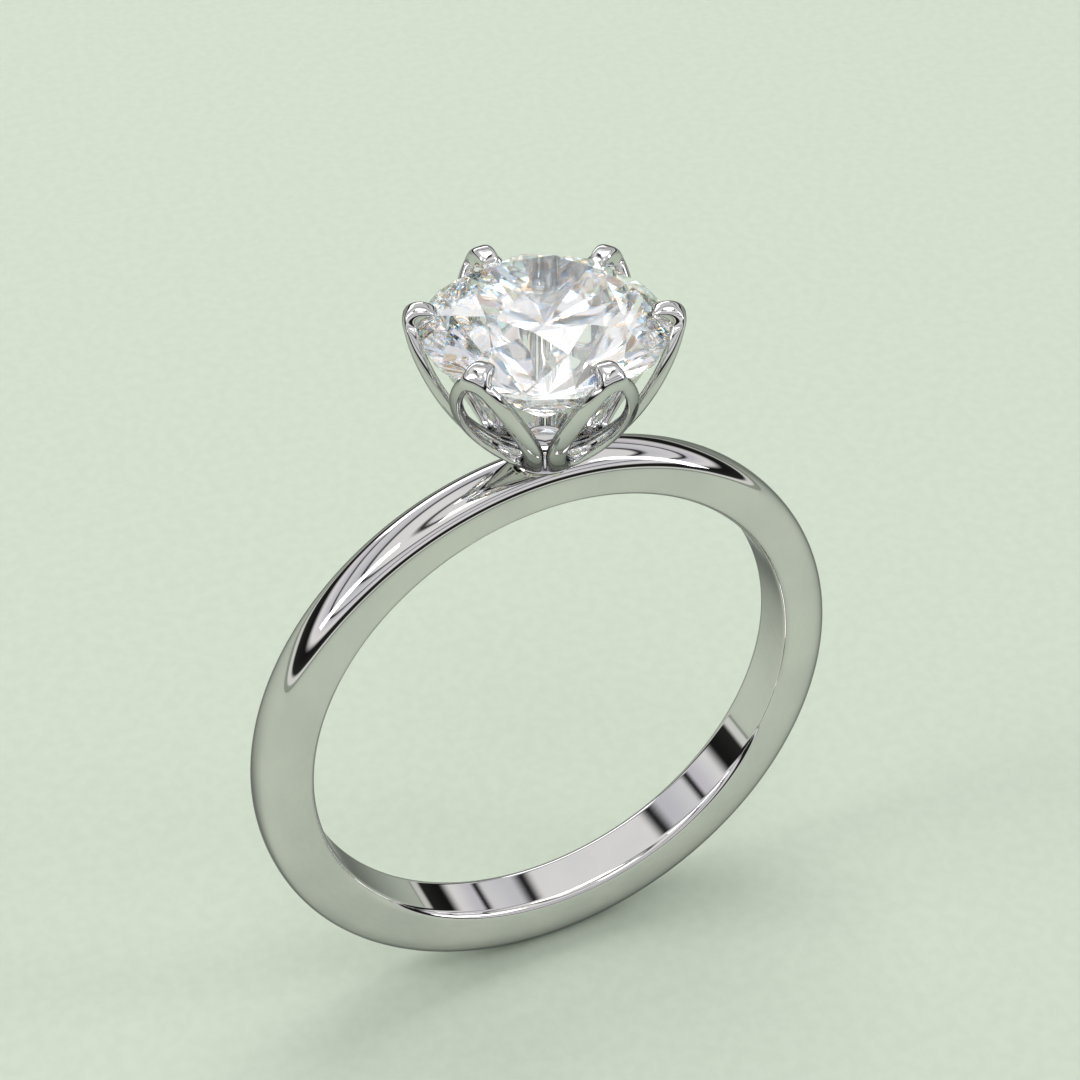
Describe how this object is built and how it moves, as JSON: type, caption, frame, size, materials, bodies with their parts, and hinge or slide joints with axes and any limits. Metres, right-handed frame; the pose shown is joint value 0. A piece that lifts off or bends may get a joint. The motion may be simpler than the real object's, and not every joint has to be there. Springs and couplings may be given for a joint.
{
  "type": "engagement ring",
  "caption": "Solitaire ring: slim comfort-fit band, tulip head of open leaf-shaped petal prongs on a peg, and a round brilliant held by rounded claws.",
  "frame": {"origin": "centre of the finger bore, midway along the band's width", "axes": "+Y along the finger, +Z from the bore's centre up through the head and the stone, +X across the finger"},
  "size_m": [0.0204, 0.0082, 0.0261],
  "materials": {
    "polished_white_gold": "mirror polished",
    "hard_solder": "flowed and polished flush",
    "diamond": "polished facets"
  },
  "bodies": {
    "root": {"shank": "polished_white_gold", "setting_peg": "polished_white_gold", "collet_cup": "polished_white_gold", "petal_prong_1": "polished_white_gold", "petal_prong_2": "polished_white_gold", "petal_prong_3": "polished_white_gold", "petal_prong_4": "polished_white_gold", "petal_prong_5": "polished_white_gold", "petal_prong_6": "polished_white_gold", "head_solder_joint": "hard_solder", "center_diamond": "diamond"}
  },
  "joints": []
}
